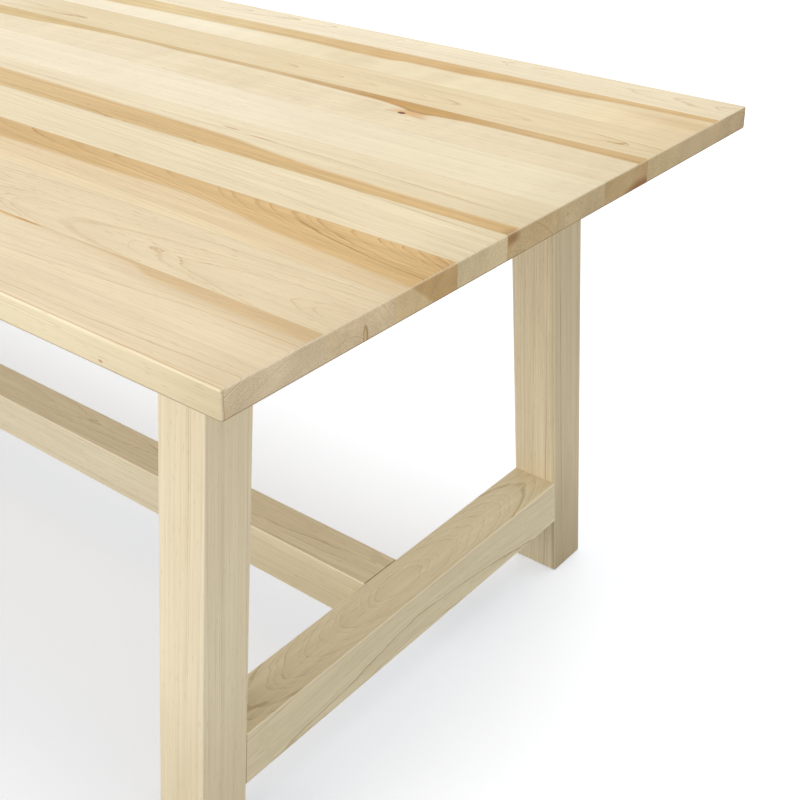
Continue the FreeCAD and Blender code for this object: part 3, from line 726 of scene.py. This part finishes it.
leftCrossBeam = {
    "node": "left_cross_beam", "finish": "leftBeamMaple", "seed": 30.6, "pale": rgb(232, 218, 187),
    "pith": (-0.006, -0.020), "lean": (0.0, 0.045), "drift": 0.016, "wiggle": 0.0036,
    "ring": 0.0031, "lines": 0.66, "even": 0.35, "lineFrom": 0.87,
    "warmth": 0.15, "warm": rgb(222, 202, 164), "sheenAndWear": 0.7,
}
dressCrosspiece(leftCrossBeam, -1)

rightTopRail = {
    "node": "right_top_rail", "finish": "rightRailMaple", "seed": 32.2, "pale": rgb(236, 220, 188),
    "pith": (0.09, -0.09), "lean": (0.006, 0.01), "drift": 0.012, "wiggle": 0.002,
    "ring": 0.0036, "lines": 0.70, "warmth": 0.3,
}
dressCrosspiece(rightTopRail, 1)

leftTopRail = {
    "node": "left_top_rail", "finish": "leftRailMaple", "seed": 34.9, "pale": rgb(236, 220, 188),
    "pith": (-0.09, 0.08), "lean": (0.006, 0.01), "drift": 0.012, "wiggle": 0.002,
    "ring": 0.0036, "lines": 0.70, "warmth": 0.3,
}
dressCrosspiece(leftTopRail, -1)

longStretcher = {
    "node": "long_stretcher", "finish": "stretcherMaple", "seed": 36.5, "pale": rgb(234, 221, 191),
    "pith": (0.012, -0.045), "lean": (0.004, 0.012), "drift": 0.014, "wiggle": 0.0024,
    "ring": 0.0032, "lines": 0.60, "even": 0.3, "lineFrom": 0.86, "grainy": 1.2,
    "warmth": 0.15, "warm": rgb(220, 200, 164), "sheenAndWear": 0.8,
    "middle": (0.0, 0.0, 0.133), "half": (0.035, 0.036), "jointAt": 0.824,
    "tints": [
        # painted shade: the near side is darker towards the right end, by the leg and the beam
        mark((0.76, -0.040, 0.125), (0.45, 0.022, 0.06), (214, 199, 165), 1.0, core=0.1, ragged=0.2),
    ],
}
satinWood(longStretcher)
print("frame dressed: 9 pieces")

zincPlate = {
    "nodes": ["top_bolts", "top_bolt_washers", "top_inserts",
              "stretcher_bolts", "stretcher_washers", "stretcher_nuts"],
    "bright": rgb(214, 214, 210), "dull": rgb(176, 178, 176), "dullFrom": (0.35, 0.7),
    "spangle": ((420.0, 420.0, 420.0), 41.0, 3.0, 0.6), "scuffs": ((160.0, 160.0, 1900.0), 42.3, 2.0, 0.5),
    "rough": 0.34, "roughSpangle": 0.25, "roughScuffs": 0.12,
    "spangleHeight": 0.5, "bump": {"Strength": 0.15, "Distance": 0.0001},
}


def zincFasteners(plate):
    finish = Finish(bpy.data.materials.new("zincPlatedSteel"))
    spot = finish.node("TexCoord", out="Object")
    spangle = finish.noise(spot, *plate["spangle"])
    scuffs = finish.noise(spot, *plate["scuffs"])
    colour = finish.mix(plate["bright"], plate["dull"], finish.smooth(spangle, *plate["dullFrom"]))
    rough = plate["rough"] + swing(spangle, plate["roughSpangle"]) + swing(scuffs, plate["roughScuffs"])
    height = scuffs + spangle * plate["spangleHeight"]
    bump = finish.node("Bump", {}, {**plate["bump"], "Height": height})
    shader = finish.node("BsdfPrincipled", {}, {
        "Base Color": colour, "Metallic": 1.0, "Roughness": rough, "Normal": bump,
    })
    finish.output(shader)
    for name in plate["nodes"]:
        cadNodes[name].material_slots[0].material = finish.owner


zincFasteners(zincPlate)
print("fasteners dressed:", len(zincPlate["nodes"]), "nodes")

studioFloor = {
    "size": 60.0, "paper": (0.66, 0.66, 0.66, 1),
    "catch": (1.0, 0.97, 0.92, 1), "glow": (0.20, 0.255, 0.342, 1),  # what the camera sees: shadow, and a lift
}


def seenDirectly(finish):  # 1 where the camera looks, also in a mirror or through glass
    path = finish.node("LightPath")
    outputs = path.socket.node.outputs
    rays = path + Wire(finish, outputs["Is Glossy Ray"]) + Wire(finish, outputs["Is Transmission Ray"])
    return finish.math("MINIMUM", rays, 1.0)


def makeFloor(floor):
    bpy.ops.object.select_all(action="DESELECT")
    bpy.ops.mesh.primitive_plane_add(size=floor["size"], location=(0, 0, 0))
    sheet = bpy.context.object
    sheet.name = "studioFloor"
    finish = Finish(bpy.data.materials.new("palePaper"))
    plain = finish.node("BsdfDiffuse", {}, {"Color": floor["paper"]})
    catcher = finish.node("BsdfDiffuse", {}, {"Color": floor["catch"]})
    glow = finish.node("Emission", {}, {"Color": floor["glow"], "Strength": 1.0})
    seen = finish.node("AddShader", {}, {0: catcher, 1: glow})
    finish.output(finish.node("MixShader", {}, {0: seenDirectly(finish), 1: plain, 2: seen}))
    sheet.data.materials.append(finish.owner)


makeFloor(studioFloor)

studioLight = {
    "white": (1.0, 1.0, 1.0, 1), "roomLevel": 0.52, "backdropLevel": 1.0, "lampDistance": 4,
    "lamps": [
        {"name": "overheadSoft", "from": (0.05, 0.25, 1.0), "level": 0.328, "spread": 52},
        {"name": "frontFill", "from": (-0.35, -1.0, 0.30), "level": 0.42, "spread": 50},
        {"name": "rightFill", "from": (1.0, -0.35, 0.35), "level": 0.105, "spread": 60},
    ],
}


def makeLight(light):
    finish = Finish(bpy.data.worlds.new("whiteStudio"))
    scene.world = finish.owner
    room = finish.node("Background", {}, {"Color": light["white"], "Strength": light["roomLevel"]})
    backdrop = finish.node("Background", {}, {"Color": light["white"], "Strength": light["backdropLevel"]})
    mixed = finish.node("MixShader", {}, {0: seenDirectly(finish), 1: room, 2: backdrop})
    finish.node("OutputWorld", {}, {"Surface": mixed})
    for lamp in light["lamps"]:
        bpy.ops.object.light_add(type="SUN", location=Vector(lamp["from"]) * light["lampDistance"])
        sun = bpy.context.object
        sun.name = lamp["name"]
        sun.rotation_euler = Vector(lamp["from"]).to_track_quat("Z", "Y").to_euler()
        sun.data.energy = lamp["level"] * math.pi
        sun.data.angle = math.radians(lamp["spread"])


makeLight(studioLight)

photoCamera = {
    "at": (1.7829, -1.1550, 1.3116), "pitch": -22.62, "yaw": 38.66,
    "sensor": 36.0, "lens": 59.74, "shift": -0.22,
}


def makeCamera(eye):
    bpy.ops.object.camera_add(location=eye["at"])
    camera = bpy.context.object
    camera.name = "photoCamera"
    camera.rotation_euler = (math.radians(90 + eye["pitch"]), 0, math.radians(eye["yaw"]))
    camera.data.sensor_width = eye["sensor"]
    camera.data.lens = eye["lens"]
    camera.data.shift_y = eye["shift"]
    scene.camera = camera


makeCamera(photoCamera)
scene.view_settings.view_transform = "Standard"
print("floor, light and camera ready")
